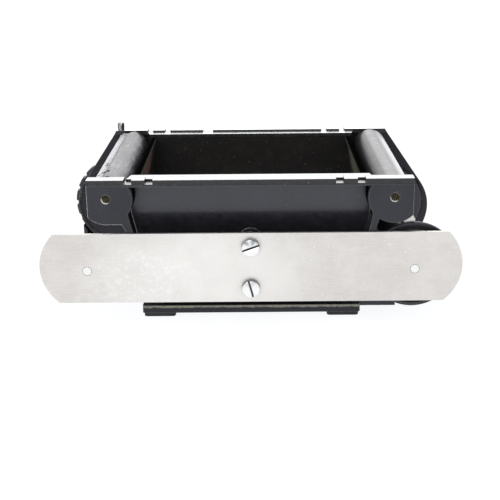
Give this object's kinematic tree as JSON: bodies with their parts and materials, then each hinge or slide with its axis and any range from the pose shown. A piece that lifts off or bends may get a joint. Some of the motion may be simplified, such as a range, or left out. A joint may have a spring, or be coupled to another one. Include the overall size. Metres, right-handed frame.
{
  "type": "roll film holder insert",
  "caption": "Roll film holder insert: gate with polished rails, film rollers, supply spool, serrated winding wheel and spring strip with spool pins.",
  "frame": {"origin": "centre of the film gate in plan, on the resting plane of the foot pads", "axes": "+X towards the supply spool, +Y towards the winding mechanism, +Z towards the film plane"},
  "size_m": [0.1215, 0.0823, 0.0441],
  "materials": {
    "rail_metal": "ground bright tops, blackened sides",
    "black_paint": "satin black lacquer with worn edges",
    "black_flock": "matt flock",
    "black_pad": "matt",
    "steel_screw": "bright nickel",
    "nickel_strip": "satin nickel, fine lengthwise grain",
    "bright_steel": "turned",
    "grey_rubber": "worn, seamed",
    "grey_roller": "smooth satin grey",
    "brass": "dull turned",
    "black_spool": "satin moulded",
    "black_wheel": "satin, serrated"
  },
  "bodies": {
    "chassis": {"near_outer_rail": "rail_metal", "far_outer_rail": "rail_metal", "near_inner_rail": "rail_metal", "far_inner_rail": "rail_metal", "near_side_plate": "black_paint", "far_side_plate": "black_paint", "light_chamber": "black_paint", "chamber_lining": "black_flock", "base_frame": "black_paint", "foot_pads": "black_pad", "base_screws": "steel_screw", "rail_dowels": "steel_screw", "cradle_screws": "steel_screw", "spring_strip_centre": "nickel_strip", "strip_screws": "steel_screw", "strip_standoffs": "black_paint", "roller_pivot_screws": "brass", "roller_bushes": "brass", "winding_shaft_bush": "brass", "supply_far_pivot": "bright_steel", "supply_brake_spring": "nickel_strip", "brake_spring_rivet": "steel_screw", "supply_cradle": "black_paint", "counter_stud": "bright_steel", "mechanism_housing": "black_paint", "housing_screws": "steel_screw", "corner_stud": "bright_steel"},
    "metering_roller": {"metering_roller_sleeve": "grey_rubber", "metering_roller_core": "bright_steel", "metering_roller_shaft": "bright_steel", "metering_pinion": "brass"},
    "guide_roller": {"guide_roller_tube": "grey_roller", "guide_roller_plugs": "bright_steel", "guide_roller_shaft": "bright_steel"},
    "supply_spool": {"supply_spool": "black_spool"},
    "winding": {"winding_wheel": "black_wheel", "winding_shaft": "bright_steel", "take_up_drive_key": "bright_steel", "shaft_retaining_clip": "bright_steel"},
    "counter": {"counter_gear": "brass"},
    "strip_left": {"spring_strip_left": "nickel_strip", "take_up_spool_pin": "bright_steel"},
    "strip_right": {"spring_strip_right": "nickel_strip", "supply_spool_pin": "bright_steel"}
  },
  "joints": [
    {"name": "metering_roller_spin", "type": "hinge", "parent": "chassis", "child": "metering_roller", "pos_m": [-0.03975, 0, 0.0364], "axis": [0, 1, 0], "continuous": true},
    {"name": "guide_roller_spin", "type": "hinge", "parent": "chassis", "child": "guide_roller", "pos_m": [0.03975, 0, 0.0364], "axis": [0, 1, 0], "continuous": true},
    {"name": "supply_spool_spin", "type": "hinge", "parent": "chassis", "child": "supply_spool", "pos_m": [0.04585, 0, 0.016], "axis": [0, 1, 0], "continuous": true},
    {"name": "winding_wheel_spin", "type": "hinge", "parent": "chassis", "child": "winding", "pos_m": [-0.04585, 0.0365, 0.016], "axis": [0, 1, 0], "continuous": true},
    {"name": "counter_gear_spin", "type": "hinge", "parent": "chassis", "child": "counter", "pos_m": [-0.03181, 0.0405, 0.0274], "axis": [0, 1, 0], "continuous": true},
    {"name": "strip_left_flex", "type": "hinge", "parent": "chassis", "child": "strip_left", "pos_m": [-0.008, -0.0362, 0.016], "axis": [0, 0, 1], "range_deg": [0, 6]},
    {"name": "strip_right_flex", "type": "hinge", "parent": "chassis", "child": "strip_right", "pos_m": [0.008, -0.0362, 0.016], "axis": [0, 0, -1], "range_deg": [0, 6]}
  ],
  "couplings": [
    {"joint": "counter_gear_spin", "follows": "metering_roller_spin", "ratio": -0.2}
  ]
}
